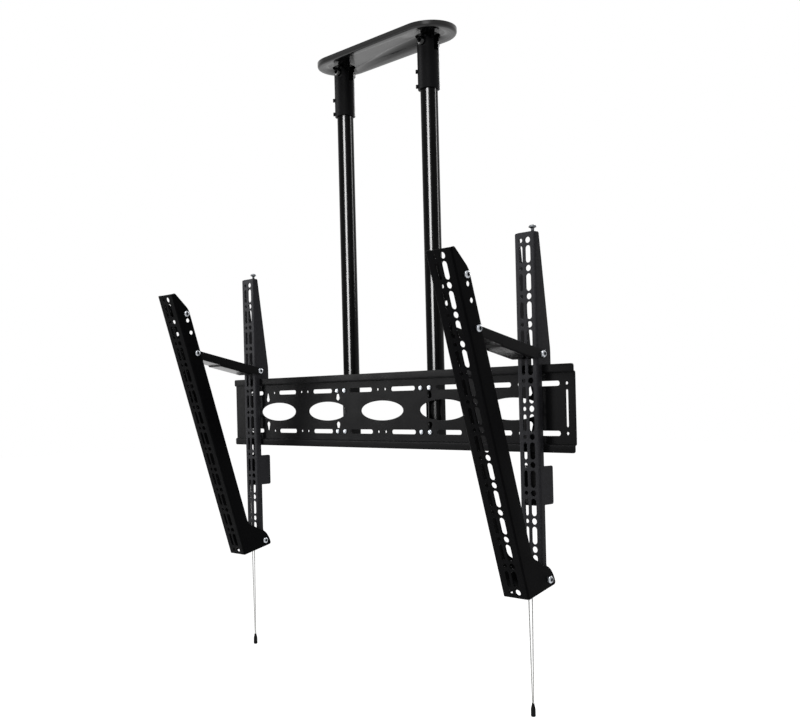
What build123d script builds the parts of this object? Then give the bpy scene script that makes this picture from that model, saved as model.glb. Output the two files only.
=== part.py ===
from build123d import *
from math import atan2, cos, degrees, radians, sin, sqrt
import os

# A twin-pole ceiling mount for a large television: a ceiling plate under a pressed cover, two poles,
# a punched cross rail, and two arms that hook over the rail and carry tilting arms on struts.
# The origin is the middle of the ceiling plate's top face, X runs along the rail, the screen is at -Y.

# Ceiling plate and its cover
plate_thickness = 3
cover_end_reach = 58
cover_width = 116
cover_depth = 12
cover_wall = 1.5
cover_round = 5
cover_opening_dia = 50
plate_end_clearance = 0.5
ceiling_hole_dia = 9
ceiling_hole_span_x = 130
ceiling_hole_span_y = 70

# Poles, collars and yokes
pole_spacing = 244
pole_dia = 35
pole_wall = 2
pole_cap_thickness = 4
collar_dia = 44
collar_bore_gap = 0.3
collar_top_drop = 14
collar_top_width = 24
collar_shoulder_drop = 27
collar_flat_drop = 36
collar_flat_depth = 3
collar_slot_drop = 44
collar_roof = 5
collar_bottom_drop = 119
tongue_thickness = 12
tongue_width = 26
yoke_base_sheet = 4
yoke_base_length = 38
yoke_base_width = 30
yoke_bolt_drop = 25
yoke_bolt_dia = 10
yoke_bolt_head_dia = 18.4
yoke_bolt_head = 6
yoke_nut_height = 8
collar_screw_drops = (82, 112)
collar_screw_dia = 5
collar_screw_head_dia = 8
collar_screw_head = 4

# Cross rail, a joggled sheet with a lip along each edge
rail_drop = 760
rail_length = 962.5
rail_middle_x = -12.75
rail_height = 156
rail_sheet = 2.5
rail_front = -33.5
lip_height = 13
lip_step = 4.5
lip_corner = 4
row_offset = 44
slot_width = 9
slot_spans = ((27.5, 94), (150.7, 213), (271.4, 332), (389.7, 437))
window_pitch = 167.2
window_length = 122.5
window_height = 41
keyhole_places = (132.8, 372.5)
keyhole_dia = 12
keyhole_neck_dia = 5
keyhole_offset = 29
keyhole_neck_offset = 41
pair_places = (0, 241.9)
pair_half_span = 10.6
small_hole_dia = 5.5
outer_hole_place = 349
end_column_place = 451.5
end_slot_width = 5
end_slot_length = 66

# Pole feet, which bolt to the back of the rail
foot_sheet = 3
foot_height = 124
foot_wall_depth = 34
foot_bolt_dia = 6
foot_bolt_half_span = 11.4
foot_bolt_head_dia = 10
foot_bolt_head = 3.5
foot_nut_height = 4
foot_nut_dia = 10

# Arms that hook over the rail
arm_left_x = -418
arm_right_x = 382
arm_front = -50.5
arm_half_width = 22
arm_half_length = 315
arm_sheet = 2.5
arm_depth_top = 13
arm_depth_hook = 39.5
arm_depth_tab = 38.5
arm_depth_foot = 22
hook_top_offset = 105
hook_bottom_offset = 70
tab_top_offset = -102
tab_bottom_offset = -171
running_gap = 0.05
pivot_depth = 12
strut_pivot_offset = 97
tilt_pivot_rise = 13
pivot_dia = 8
pivot_head_dia = 13
pivot_head = 5
pivot_gap = 0.1

# Hole and slot columns, shared by both kinds of arm
hole_pitch = 50
hole_end_margin = 3
wide_column_x = 6.6
wide_hole_dia = 11
wide_bridge = 4
narrow_column_x = -8.6
narrow_hole_dia = 7.4
narrow_bridge = 6.3

# Level screw on the top tab of each arm
top_tab_depth = 19
top_tab_half_width = 8
level_screw_x = 11.5
level_screw_dia = 6
level_screw_head_dia = 14
level_screw_head = 3
level_screw_rise = 9
level_screw_reach = 12

# Tilting arms, on a frame at the tilt pivot: u up along the arm, v towards the back
tilt_lean = 17.24
tilt_half_width = 28
tilt_sheet = 2.5
tilt_front_v = -66
tilt_rear_v = -33
tilt_top_u = 614
tilt_bottom_u = -8.6
tilt_top_hole_u = 602.7
tilt_bolt_v = -43
tilt_bolt_u = (472, 563)
tilt_open_hole_u = (520, 548)
tilt_open_hole_dia = 9
ear_reach = 15
ear_shoulder_v = 9
ear_shoulder_u = 18.5
ear_start_u = 56
ear_drop = 6
top_chamfer_v = 24
top_chamfer_u = 43

# Struts, on a frame at the strut pivot: p along the strut, q towards its open side
strut_half_width = 25
strut_sheet = 2.3
strut_top_q = 7
strut_bottom_q = -14
strut_web_start = 22
strut_web_step = 112
strut_web_end = 168
strut_web_rise = 3

# Latch under the rail, with its guide box and pull cords
latch_half_width = 12
latch_sheet = 2.5
latch_top_offset = -70
latch_bottom_offset = -172.5
latch_box_top_offset = -108
latch_box_bottom_offset = -160
latch_box_depth = 8
latch_tab_front = 4
latch_tab_half_width = 16.9
cord_dia = 2.2
cord_depth = 6.5
cord_middle_x = -10
cord_top_half_span = 6.2
cord_end_half_span = 1.3
toggle_top_offset = -527
toggle_height = 24
toggle_top_dia = 5.6
toggle_bottom_dia = 9
toggle_neck = 8
toggle_skirt = 5

# Derived places
pole_x = pole_spacing / 2
cover_length = pole_spacing + 2 * cover_end_reach
rail_left_end = rail_middle_x - rail_length / 2
rail_back = rail_front + rail_sheet
lip_front = rail_front - lip_step
lip_back = lip_front + rail_sheet
half_rail = rail_height / 2
lip_inner = half_rail - lip_height
pivot_y = arm_front + pivot_depth
tilt_pivot_offset = tilt_pivot_rise - arm_half_length
arm_pitches = int((2 * arm_half_length - wide_hole_dia - 2 * hole_end_margin) // hole_pitch)
tilt_pitches = int((tilt_top_hole_u - tilt_bottom_u - wide_hole_dia / 2 - hole_end_margin) // hole_pitch)
arm_inner = arm_half_width - arm_sheet
tilt_inner = tilt_half_width - tilt_sheet
lean_sin = sin(radians(tilt_lean))
lean_cos = cos(radians(tilt_lean))
back_arm = (0, lean_cos, lean_sin)
tilt_pivot_z = tilt_pivot_offset - rail_drop
strut_pivot_z = strut_pivot_offset - rail_drop
strut_end_y = pivot_y - tilt_bolt_u[0] * lean_sin + tilt_bolt_v * lean_cos
strut_end_z = tilt_pivot_z + tilt_bolt_u[0] * lean_cos + tilt_bolt_v * lean_sin
strut_reach_y = pivot_y - strut_end_y
strut_reach_z = strut_end_z - strut_pivot_z
strut_length = sqrt(strut_reach_y**2 + strut_reach_z**2)
strut_rise = atan2(strut_reach_z, strut_reach_y)
strut_along = (0, -cos(strut_rise), sin(strut_rise))
sides = (("left", -1, arm_left_x), ("right", 1, arm_right_x))

os.makedirs("parts", exist_ok=True)


def save(part, name):
    part.label = name
    export_step(part, f"parts/{name}.step")


def front_plane(x, y, z):
    # Faces the screen: sketch x is X, sketch y is Z, and a negative extrusion goes backwards.
    return Plane(origin=(x, y, z), x_dir=(1, 0, 0), z_dir=(0, -1, 0))


def side_plane(x, y, z):
    # Faces +X: sketch x is Y, sketch y is Z.
    return Plane(origin=(x, y, z), x_dir=(0, 1, 0), z_dir=(1, 0, 0))


def tilt_origin(x, v):
    return (x, pivot_y + v * lean_cos, tilt_pivot_z + v * lean_sin)


def tilt_side_plane(x):
    # Faces +X in the tilting arm's frame: sketch x is v, sketch y is u.
    return Plane(origin=tilt_origin(x, 0), x_dir=back_arm, z_dir=(1, 0, 0))


def strut_side_plane(x):
    # Faces -X in the strut's frame: sketch x is p, sketch y is q.
    return Plane(origin=(x, pivot_y, strut_pivot_z), x_dir=strut_along, z_dir=(-1, 0, 0))


def punched_column(x, top_y, pitches, hole_dia, bridge):
    # One column of a strip, to subtract from its sketch: a hole at each pitch, a slot half way to the next.
    with Locations(*[(x, top_y - row * hole_pitch) for row in range(pitches + 1)]):
        Circle(hole_dia / 2, mode=Mode.SUBTRACT)
    with Locations(*[(x, top_y - (row + 0.5) * hole_pitch) for row in range(pitches)]):
        SlotOverall(hole_pitch - hole_dia - 2 * bridge, hole_dia, rotation=90, mode=Mode.SUBTRACT)


# Ceiling plate: its straight sides fit the cover, its ends stay clear of it
with BuildPart() as ceiling_plate:
    with BuildSketch():
        SlotOverall(cover_length - 2 * cover_wall - 2 * plate_end_clearance, cover_width - 2 * cover_wall)
        with GridLocations(ceiling_hole_span_x, ceiling_hole_span_y, 2, 2):
            Circle(ceiling_hole_dia / 2, mode=Mode.SUBTRACT)
    extrude(amount=-plate_thickness)
save(ceiling_plate.part, "ceiling_plate")

# Cover: a shallow pressed tray with a rounded lower rim and an opening round each yoke
with BuildPart() as ceiling_cover:
    with BuildSketch():
        SlotOverall(cover_length, cover_width)
    extrude(amount=-cover_depth)
    fillet(ceiling_cover.faces().sort_by(Axis.Z)[0].edges(), cover_round)
    offset(amount=-cover_wall, openings=ceiling_cover.faces().sort_by(Axis.Z)[-1])
    with BuildSketch(Plane.XY.offset(-cover_depth)):
        with Locations((-pole_x, 0), (pole_x, 0)):
            Circle(cover_opening_dia / 2)
    extrude(amount=cover_depth / 2, mode=Mode.SUBTRACT)
save(ceiling_cover.part, "ceiling_cover")

for side, sign, arm_x in sides:
    axis_x = sign * pole_x
    yoke_top = -plate_thickness
    bolt_reach = collar_dia / 2 - collar_flat_depth
    bolt_plane = front_plane(axis_x, 0, -yoke_bolt_drop)

    # Yoke: a base under the ceiling plate with a tongue that hangs into the fork of the collar
    with BuildPart() as yoke:
        with BuildSketch(Plane.XY.offset(yoke_top)):
            with Locations((axis_x, 0)):
                Rectangle(yoke_base_length, yoke_base_width)
        extrude(amount=-yoke_base_sheet)
        with BuildSketch(front_plane(axis_x, -tongue_thickness / 2, 0)):
            with Locations((0, (yoke_top - yoke_bolt_drop) / 2)):
                Rectangle(tongue_width, yoke_top + yoke_bolt_drop)
            with Locations((0, -yoke_bolt_drop)):
                Circle(tongue_width / 2)
                Circle(yoke_bolt_dia / 2 + pivot_gap, mode=Mode.SUBTRACT)
        extrude(amount=-tongue_thickness)
    save(yoke.part, f"yoke_{side}")

    # Collar: a sleeve over the pole, closed by a roof, above which it is a fork with sloping shoulders
    with BuildPart() as collar:
        with BuildSketch(Plane.XY.offset(-collar_bottom_drop)):
            with Locations((axis_x, 0)):
                Circle(collar_dia / 2)
        extrude(amount=collar_bottom_drop - collar_top_drop)
        with BuildSketch(front_plane(axis_x, 0, 0)):
            with BuildLine():
                Polyline(
                    (collar_dia / 2, -collar_bottom_drop),
                    (collar_dia / 2, -collar_shoulder_drop),
                    (collar_top_width / 2, -collar_top_drop),
                    (-collar_top_width / 2, -collar_top_drop),
                    (-collar_dia / 2, -collar_shoulder_drop),
                    (-collar_dia / 2, -collar_bottom_drop),
                    close=True,
                )
            make_face()
        extrude(amount=collar_dia / 2, both=True, mode=Mode.INTERSECT)
        with BuildSketch(Plane.XY.offset(-collar_slot_drop)):
            with Locations((axis_x, 0)):
                Rectangle(collar_dia, tongue_thickness)
        extrude(amount=collar_slot_drop - collar_top_drop, mode=Mode.SUBTRACT)
        for way in (-1, 1):
            with BuildSketch(front_plane(axis_x, -way * bolt_reach, 0)):
                with Locations((0, -(collar_top_drop + collar_flat_drop) / 2)):
                    Rectangle(collar_dia, collar_flat_drop - collar_top_drop)
            extrude(amount=way * collar_flat_depth, mode=Mode.SUBTRACT)
        with BuildSketch(bolt_plane):
            Circle(yoke_bolt_dia / 2 + pivot_gap)
        extrude(amount=collar_dia / 2, both=True, mode=Mode.SUBTRACT)
        with BuildSketch(Plane.XY.offset(-collar_bottom_drop)):
            with Locations((axis_x, 0)):
                Circle(pole_dia / 2 + collar_bore_gap)
        extrude(amount=collar_bottom_drop - collar_slot_drop - collar_roof, mode=Mode.SUBTRACT)
        screw_hole = Plane(origin=(axis_x, 0, 0), x_dir=(1, -1, 0), z_dir=(-1, -1, 0))
        with BuildSketch(screw_hole):
            with Locations(*[(0, -drop) for drop in collar_screw_drops]):
                Circle(collar_screw_dia / 2 + pivot_gap)
        extrude(amount=collar_dia, mode=Mode.SUBTRACT)
    save(collar.part, f"collar_{side}")

    # Collar screws press on the pole from the front left
    with BuildPart() as collar_screws:
        for drop in collar_screw_drops:
            seat = Plane(origin=(axis_x, 0, -drop), x_dir=(1, -1, 0), z_dir=(-1, -1, 0))
            with BuildSketch(seat.offset(pole_dia / 2)):
                Circle(collar_screw_dia / 2)
            extrude(amount=(collar_dia - pole_dia) / 2)
            with BuildSketch(seat.offset(collar_dia / 2)):
                Circle(collar_screw_head_dia / 2)
            extrude(amount=collar_screw_head)
    save(collar_screws.part, f"collar_screws_{side}")

    # Yoke bolt, with its head towards the screen, and its nut
    with BuildPart() as yoke_bolt:
        with BuildSketch(bolt_plane.offset(-bolt_reach - yoke_bolt_dia)):
            Circle(yoke_bolt_dia / 2)
        extrude(amount=2 * bolt_reach + yoke_bolt_dia)
        with BuildSketch(bolt_plane.offset(bolt_reach)):
            RegularPolygon(yoke_bolt_head_dia / 2, 6)
        extrude(amount=yoke_bolt_head)
    save(yoke_bolt.part, f"yoke_bolt_{side}")
    with BuildPart() as yoke_nut:
        with BuildSketch(bolt_plane.offset(-bolt_reach)):
            RegularPolygon(yoke_bolt_head_dia / 2, 6)
            Circle(yoke_bolt_dia / 2, mode=Mode.SUBTRACT)
        extrude(amount=-yoke_nut_height)
    save(yoke_nut.part, f"yoke_nut_{side}")

    # Pole: a tube from the collar's roof down behind the rail, with a cap in its lower end
    pole_top = -collar_slot_drop - collar_roof
    pole_bottom = -rail_drop - half_rail + lip_height
    with BuildPart() as pole:
        with BuildSketch(Plane.XY.offset(pole_bottom)):
            with Locations((axis_x, 0)):
                Circle(pole_dia / 2)
                Circle(pole_dia / 2 - pole_wall, mode=Mode.SUBTRACT)
        extrude(amount=pole_top - pole_bottom)
    save(pole.part, f"pole_{side}")
    with BuildPart() as pole_cap:
        with BuildSketch(Plane.XY.offset(pole_bottom)):
            with Locations((axis_x, 0)):
                Circle(pole_dia / 2)
        extrude(amount=-pole_cap_thickness)
    save(pole_cap.part, f"pole_cap_{side}")

    # Pole foot: a channel whose base lies on the back of the rail and whose walls hold the pole
    wall_face = pole_dia / 2
    with BuildPart() as pole_foot:
        with BuildSketch(front_plane(axis_x, rail_back, -rail_drop)):
            Rectangle(2 * (wall_face + foot_sheet), foot_height)
            with GridLocations(2 * foot_bolt_half_span, 2 * row_offset, 2, 2):
                Circle(foot_bolt_dia / 2 + pivot_gap, mode=Mode.SUBTRACT)
        extrude(amount=-foot_sheet)
        with BuildSketch(front_plane(axis_x, rail_back, -rail_drop)):
            with Locations((-wall_face - foot_sheet / 2, 0), (wall_face + foot_sheet / 2, 0)):
                Rectangle(foot_sheet, foot_height)
        extrude(amount=-foot_wall_depth)
    save(pole_foot.part, f"pole_foot_{side}")

    # Foot bolts, with round heads on the front of the rail, and their nuts
    with BuildPart() as foot_bolts:
        with BuildSketch(front_plane(axis_x, rail_front, -rail_drop)):
            with GridLocations(2 * foot_bolt_half_span, 2 * row_offset, 2, 2):
                Circle(foot_bolt_head_dia / 2)
        extrude(amount=foot_bolt_head)
        with BuildSketch(front_plane(axis_x, rail_front, -rail_drop)):
            with GridLocations(2 * foot_bolt_half_span, 2 * row_offset, 2, 2):
                Circle(foot_bolt_dia / 2)
        extrude(amount=-(rail_sheet + foot_sheet + foot_nut_height))
    save(foot_bolts.part, f"foot_bolts_{side}")
    with BuildPart() as foot_nuts:
        with BuildSketch(front_plane(axis_x, rail_back + foot_sheet, -rail_drop)):
            with GridLocations(2 * foot_bolt_half_span, 2 * row_offset, 2, 2):
                RegularPolygon(foot_nut_dia / 2, 6, rotation=30)
                Circle(foot_bolt_dia / 2, mode=Mode.SUBTRACT)
        extrude(amount=-foot_nut_height)
    save(foot_nuts.part, f"foot_nuts_{side}")

# Rail: the joggled section first, then the windows, slots and holes through its web
with BuildPart() as rail:
    with BuildSketch(side_plane(rail_left_end, 0, -rail_drop)):
        with BuildLine():
            Polyline(
                (lip_front, half_rail),
                (lip_front, lip_inner),
                (rail_front, lip_inner),
                (rail_front, -lip_inner),
                (lip_front, -lip_inner),
                (lip_front, -half_rail),
                (lip_back, -half_rail),
                (lip_back, -lip_inner - rail_sheet),
                (rail_back, -lip_inner - rail_sheet),
                (rail_back, lip_inner + rail_sheet),
                (lip_back, lip_inner + rail_sheet),
                (lip_back, half_rail),
                close=True,
            )
        make_face()
    extrude(amount=rail_length)
    lip_ends = rail.edges().filter_by(Axis.Y).group_by(Axis.Z)
    fillet(lip_ends[0] + lip_ends[-1], lip_corner)
    with BuildSketch(front_plane(0, rail_front, -rail_drop)):
        with GridLocations(window_pitch, 0, 5, 1):
            Ellipse(window_length / 2, window_height / 2)
        for row in (-1, 1):
            for mirror_sign in (-1, 1):
                for inner, outer in slot_spans:
                    with Locations((mirror_sign * (inner + outer) / 2, row * row_offset)):
                        SlotOverall(outer - inner, slot_width)
                for place in pair_places:
                    near = place - pair_half_span
                    far = place + pair_half_span
                    spots = [near, far] if place else [far]
                    with Locations(*[(mirror_sign * spot, row * row_offset) for spot in spots]):
                        Circle(small_hole_dia / 2)
                for place in (outer_hole_place, end_column_place):
                    with Locations((mirror_sign * place, row * row_offset)):
                        Circle(small_hole_dia / 2)
                for place in keyhole_places:
                    with BuildSketch(mode=Mode.PRIVATE) as keyhole:
                        with Locations((0, keyhole_offset)):
                            Circle(keyhole_dia / 2)
                        with Locations((0, keyhole_neck_offset)):
                            Circle(keyhole_neck_dia / 2)
                        make_hull()
                    with Locations((mirror_sign * place, 0)):
                        add(keyhole.sketch, rotation=0 if row > 0 else 180)
        for mirror_sign in (-1, 1):
            with Locations((mirror_sign * end_column_place, 0)):
                SlotOverall(end_slot_length, end_slot_width, rotation=90)
            with Locations((mirror_sign * pole_x, 0)):
                with GridLocations(2 * foot_bolt_half_span, 2 * row_offset, 2, 2):
                    Circle(foot_bolt_dia / 2 + pivot_gap)
    extrude(amount=-rail_sheet, mode=Mode.SUBTRACT)
save(rail.part, "rail")

for side, sign, arm_x in sides:
    # Arm: a punched channel whose side flanges hook over the rail's top lip and carry the latch box
    flange_rear = lip_front - arm_front - running_gap
    notch_rear = lip_back - arm_front + running_gap
    with BuildPart() as arm:
        with BuildSketch(front_plane(arm_x, arm_front, -rail_drop)):
            Rectangle(2 * arm_half_width, 2 * arm_half_length)
            column_top = arm_pitches * hole_pitch / 2
            punched_column(wide_column_x, column_top, arm_pitches, wide_hole_dia, wide_bridge)
            punched_column(narrow_column_x, column_top, arm_pitches, narrow_hole_dia, narrow_bridge)
        extrude(amount=-arm_sheet)
        for flange_x in (arm_half_width, -arm_inner):
            with BuildSketch(side_plane(arm_x + flange_x, arm_front, -rail_drop)):
                with BuildLine():
                    Polyline(
                        (0, arm_half_length),
                        (arm_depth_top, arm_half_length),
                        (arm_depth_hook, hook_top_offset),
                        (arm_depth_hook, hook_bottom_offset),
                        (notch_rear, hook_bottom_offset),
                        (notch_rear, half_rail + running_gap),
                        (flange_rear, half_rail + running_gap),
                        (flange_rear, tab_top_offset),
                        (arm_depth_tab, tab_top_offset),
                        (arm_depth_tab, tab_bottom_offset),
                        (flange_rear, tab_bottom_offset),
                        (flange_rear, tilt_pivot_offset + arm_depth_foot),
                        (arm_depth_foot, tilt_pivot_offset + pivot_depth),
                        (arm_depth_foot, -arm_half_length),
                        (0, -arm_half_length),
                        close=True,
                    )
                make_face()
                with Locations((pivot_depth, strut_pivot_offset), (pivot_depth, tilt_pivot_offset)):
                    Circle(pivot_dia / 2, mode=Mode.SUBTRACT)
            extrude(amount=-arm_sheet)
        with BuildSketch(Plane.XY.offset(arm_half_length - rail_drop)):
            with Locations((arm_x + level_screw_x, arm_front + top_tab_depth / 2)):
                Rectangle(2 * top_tab_half_width, top_tab_depth)
            with Locations((arm_x + level_screw_x, arm_front + top_tab_depth / 2)):
                Circle(level_screw_dia / 2, mode=Mode.SUBTRACT)
        extrude(amount=-arm_sheet)
    save(arm.part, f"arm_{side}")

    # Level screw: a flat head on a short shank, standing above the top tab
    screw_y = arm_front + top_tab_depth / 2
    screw_z = arm_half_length - rail_drop
    with BuildPart() as level_screw:
        with BuildSketch(Plane.XY.offset(screw_z - level_screw_reach)):
            with Locations((arm_x + level_screw_x, screw_y)):
                Circle(level_screw_dia / 2)
        extrude(amount=level_screw_reach + level_screw_rise)
        with BuildSketch(Plane.XY.offset(screw_z + level_screw_rise)):
            with Locations((arm_x + level_screw_x, screw_y)):
                Circle(level_screw_head_dia / 2)
        extrude(amount=level_screw_head)
    save(level_screw.part, f"level_screw_{side}")

    # Pivot bolts: two stubs for the strut and two, with a shoulder that spaces the sheets, for the tilt
    with BuildPart() as strut_bolts:
        for outward in (-1, 1):
            axle = Plane(
                origin=(arm_x + outward * arm_inner, pivot_y, strut_pivot_z),
                x_dir=(0, 1, 0),
                z_dir=(outward, 0, 0),
            )
            with BuildSketch(axle):
                Circle(pivot_dia / 2)
            extrude(amount=strut_half_width + running_gap - arm_inner)
            with BuildSketch(axle.offset(strut_half_width + running_gap - arm_inner)):
                RegularPolygon(pivot_head_dia / 2, 6)
            extrude(amount=pivot_head)
    save(strut_bolts.part, f"strut_bolts_{side}")
    with BuildPart() as tilt_bolts:
        for outward in (-1, 1):
            axle = Plane(
                origin=(arm_x + outward * arm_inner, pivot_y, tilt_pivot_z),
                x_dir=(0, 1, 0),
                z_dir=(outward, 0, 0),
            )
            with BuildSketch(axle):
                Circle(pivot_dia / 2)
            extrude(amount=tilt_half_width + running_gap - arm_inner)
            with BuildSketch(axle.offset(arm_sheet)):
                Circle(pivot_head_dia / 2)
            extrude(amount=tilt_inner - running_gap - arm_half_width)
            with BuildSketch(axle.offset(tilt_half_width + running_gap - arm_inner)):
                RegularPolygon(pivot_head_dia / 2, 6)
            extrude(amount=pivot_head)
    save(tilt_bolts.part, f"tilt_bolts_{side}")

    # Tilting arm: a wider channel over the arm, with an ear at its foot for the tilt pivot
    with BuildPart() as tilt_arm:
        face = Plane(
            origin=tilt_origin(arm_x, tilt_front_v),
            x_dir=(1, 0, 0),
            z_dir=(0, -lean_cos, -lean_sin),
        )
        with BuildSketch(face):
            with Locations((0, (tilt_top_u + tilt_bottom_u) / 2)):
                Rectangle(2 * tilt_half_width, tilt_top_u - tilt_bottom_u)
            punched_column(wide_column_x, tilt_top_hole_u, tilt_pitches, wide_hole_dia, wide_bridge)
            punched_column(narrow_column_x, tilt_top_hole_u, tilt_pitches, narrow_hole_dia, narrow_bridge)
        extrude(amount=-tilt_sheet)
        for flange_x in (tilt_half_width, -tilt_inner):
            with BuildSketch(tilt_side_plane(arm_x + flange_x)):
                with BuildLine():
                    Polyline(
                        (ear_reach, 0),
                        (ear_reach, tilt_bottom_u - ear_drop),
                        (tilt_front_v, tilt_bottom_u),
                        (tilt_front_v, tilt_top_u),
                        (tilt_rear_v - top_chamfer_v, tilt_top_u),
                        (tilt_rear_v, tilt_top_u - top_chamfer_u),
                        (tilt_rear_v, ear_start_u),
                        (ear_shoulder_v, ear_shoulder_u),
                        close=True,
                    )
                make_face()
                Circle(pivot_dia / 2 + pivot_gap, mode=Mode.SUBTRACT)
                with Locations(*[(tilt_bolt_v, u) for u in tilt_open_hole_u]):
                    Circle(tilt_open_hole_dia / 2, mode=Mode.SUBTRACT)
                with Locations(*[(tilt_bolt_v, u) for u in tilt_bolt_u]):
                    Circle(pivot_dia / 2, mode=Mode.SUBTRACT)
            extrude(amount=-tilt_sheet)
    save(tilt_arm.part, f"tilt_arm_{side}")

    # Stop bolts in the tilting arm's flanges: one where the strut ends, one spare near the top
    with BuildPart() as stop_bolts:
        for outward in (-1, 1):
            for u in tilt_bolt_u:
                origin = tilt_side_plane(arm_x + outward * tilt_inner).from_local_coords((tilt_bolt_v, u, 0))
                seat = Plane(origin=origin, x_dir=(0, 1, 0), z_dir=(outward, 0, 0))
                with BuildSketch(seat):
                    Circle(pivot_dia / 2)
                extrude(amount=tilt_sheet)
                with BuildSketch(seat.offset(tilt_sheet)):
                    RegularPolygon(pivot_head_dia / 2, 6)
                extrude(amount=pivot_head)
    save(stop_bolts.part, f"stop_bolts_{side}")

    # Strut: a channel open on top, with its pivots near the open edge
    with BuildPart() as strut:
        for flange_x, inward in ((strut_half_width, 1), (-strut_half_width, -1)):
            with BuildSketch(strut_side_plane(arm_x + flange_x)):
                with BuildLine():
                    Polyline(
                        (-strut_top_q, strut_top_q),
                        (-strut_top_q, -strut_top_q),
                        (strut_web_start, strut_bottom_q),
                        (strut_web_step, strut_bottom_q),
                        (strut_web_step + strut_web_rise, strut_bottom_q + strut_web_rise),
                        (strut_web_end, strut_bottom_q + strut_web_rise),
                        (strut_length + strut_top_q, -strut_top_q),
                        (strut_length + strut_top_q, strut_top_q),
                        close=True,
                    )
                make_face()
                with Locations((0, 0), (strut_length, 0)):
                    Circle(pivot_dia / 2 + pivot_gap, mode=Mode.SUBTRACT)
            extrude(amount=inward * strut_sheet)
        with BuildSketch(strut_side_plane(arm_x + strut_half_width)):
            with BuildLine():
                Polyline(
                    (strut_web_start, strut_bottom_q),
                    (strut_web_step, strut_bottom_q),
                    (strut_web_step + strut_web_rise, strut_bottom_q + strut_web_rise),
                    (strut_web_end, strut_bottom_q + strut_web_rise),
                    (strut_web_end, strut_bottom_q + strut_web_rise + strut_sheet),
                    (strut_web_step + strut_web_rise, strut_bottom_q + strut_web_rise + strut_sheet),
                    (strut_web_step, strut_bottom_q + strut_sheet),
                    (strut_web_start, strut_bottom_q + strut_sheet),
                    close=True,
                )
            make_face()
        extrude(amount=2 * strut_half_width)
    save(strut.part, f"strut_{side}")

    # Latch: a plate that slides in its box, with a finger behind the rail's lower lip and a tab for the cords
    latch_front = lip_back + running_gap
    latch_back = latch_front + latch_sheet
    box_front = (latch_front + latch_back - latch_box_depth) / 2
    with BuildPart() as latch_box:
        box_height = latch_box_top_offset - latch_box_bottom_offset
        with BuildSketch(Plane.XY.offset(latch_box_bottom_offset - rail_drop)):
            with Locations((arm_x, box_front + latch_box_depth / 2)):
                Rectangle(2 * arm_inner, latch_box_depth)
                Rectangle(
                    2 * (latch_half_width + pivot_gap),
                    latch_sheet + 2 * pivot_gap,
                    mode=Mode.SUBTRACT,
                )
        extrude(amount=box_height)
    save(latch_box.part, f"latch_box_{side}")
    with BuildPart() as latch:
        with BuildSketch(front_plane(arm_x, latch_front, -rail_drop)):
            with Locations((0, (latch_top_offset + latch_bottom_offset) / 2)):
                Rectangle(2 * latch_half_width, latch_top_offset - latch_bottom_offset)
        extrude(amount=-latch_sheet)
        tab_front = arm_front + latch_tab_front
        with BuildSketch(Plane.XY.offset(latch_bottom_offset - rail_drop)):
            with Locations((arm_x, (tab_front + latch_back) / 2)):
                Rectangle(2 * latch_tab_half_width, latch_back - tab_front)
        extrude(amount=latch_sheet)
    save(latch.part, f"latch_{side}")

    # Pull cords: two straight strands from the latch's tab to one bell-shaped toggle
    cord_y = arm_front + cord_depth
    middle_x = arm_x + cord_middle_x
    cord_top = latch_bottom_offset - rail_drop
    toggle_top = toggle_top_offset - rail_drop
    for strand, strand_sign in (("a", -1), ("b", 1)):
        start = Vector(middle_x + strand_sign * cord_top_half_span, cord_y, cord_top)
        end = Vector(middle_x + strand_sign * cord_end_half_span, cord_y, toggle_top)
        with BuildPart() as cord:
            with BuildSketch(Plane.XY.offset(cord_top)):
                with Locations((start.X, start.Y)):
                    Circle(cord_dia / 2)
            with BuildSketch(Plane.XY.offset(toggle_top)):
                with Locations((end.X, end.Y)):
                    Circle(cord_dia / 2)
            loft()
        save(cord.part, f"cord_{side}_{strand}")
    with BuildPart() as toggle:
        with BuildSketch(front_plane(middle_x, cord_y, toggle_top)):
            with BuildLine():
                Polyline(
                    (0, 0),
                    (toggle_top_dia / 2, 0),
                    (toggle_top_dia / 2, -toggle_neck),
                    (toggle_bottom_dia / 2, toggle_skirt - toggle_height),
                    (toggle_bottom_dia / 2, -toggle_height),
                    (0, -toggle_height),
                    close=True,
                )
            make_face()
        revolve(axis=Axis((middle_x, cord_y, 0), (0, 0, 1)))
    save(toggle.part, f"toggle_{side}")

print(f"strut {strut_length:.1f} mm long, raised {degrees(strut_rise):.1f} degrees at rest")
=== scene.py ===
# %% [markdown]
# # A twin-pole ceiling mount for a large television
#
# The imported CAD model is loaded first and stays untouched. It gives every piece its place, so that the
# pieces made below only have to be drawn better: with rolled edges, true bends and real finishes.
# All sizes below are millimetres, as on a workshop drawing, and become metres when a piece is finished.

# %% Load the frame
from math import atan2, cos, degrees, hypot, pi, radians, sin

import bmesh
import bpy
from mathutils import Matrix, Vector


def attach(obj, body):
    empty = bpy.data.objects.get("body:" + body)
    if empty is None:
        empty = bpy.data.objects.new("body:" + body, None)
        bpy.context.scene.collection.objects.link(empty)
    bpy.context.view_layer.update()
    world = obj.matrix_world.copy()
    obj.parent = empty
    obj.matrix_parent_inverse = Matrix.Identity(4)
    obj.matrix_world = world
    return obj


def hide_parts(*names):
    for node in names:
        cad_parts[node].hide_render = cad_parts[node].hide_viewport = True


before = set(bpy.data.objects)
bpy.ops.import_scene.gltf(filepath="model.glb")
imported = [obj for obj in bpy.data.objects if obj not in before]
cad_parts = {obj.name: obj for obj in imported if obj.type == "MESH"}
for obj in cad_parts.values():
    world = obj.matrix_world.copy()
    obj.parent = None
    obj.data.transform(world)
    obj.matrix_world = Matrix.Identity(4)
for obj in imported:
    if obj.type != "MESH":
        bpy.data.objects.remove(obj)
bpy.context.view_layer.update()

mm = 0.001
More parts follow.
